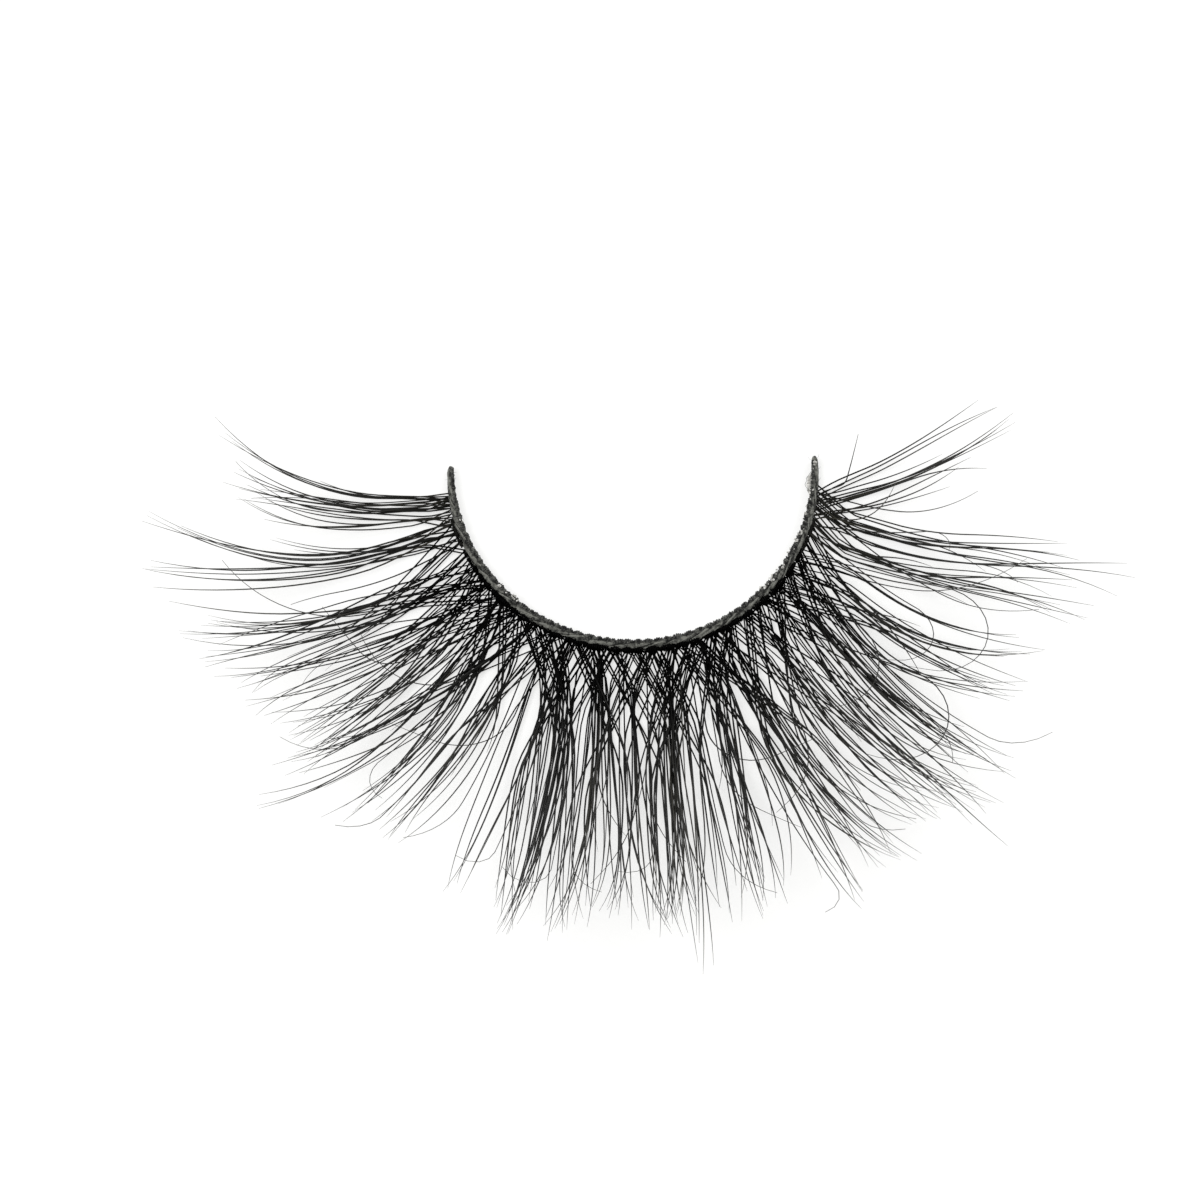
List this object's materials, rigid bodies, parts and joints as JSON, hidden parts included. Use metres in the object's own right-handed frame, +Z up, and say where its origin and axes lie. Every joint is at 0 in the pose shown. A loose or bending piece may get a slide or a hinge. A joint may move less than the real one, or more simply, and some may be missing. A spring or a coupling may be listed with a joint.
{
  "type": "false eyelash strip",
  "caption": "Strip of false eyelashes: a cotton band bent to a U with a knotted thread on its edge and curled black hair locks fanning out from it.",
  "frame": {"origin": "on the floor, under the middle of the strip's box as it lies with its hair curling up", "axes": "+X along the widest span, towards the inner corner; +Y from the longest hair towards the band's open ends; +Z up"},
  "size_m": [0.0526, 0.0364, 0.0078],
  "materials": {
    "band_cotton": "matte twisted cotton cord, dark greenish grey",
    "knot_thread": "matte knotted black thread with a little clear glue",
    "lash_hair": "soft satin near-black synthetic hair"
  },
  "bodies": {
    "root": {"band": "band_cotton", "knot_thread": "knot_thread", "outer_corner_fringe": "lash_hair", "outer_edge_fringe": "lash_hair", "outer_side_fringe": "lash_hair", "centre_fringe": "lash_hair", "inner_side_fringe": "lash_hair", "inner_edge_fringe": "lash_hair", "inner_corner_fringe": "lash_hair"}
  },
  "joints": []
}
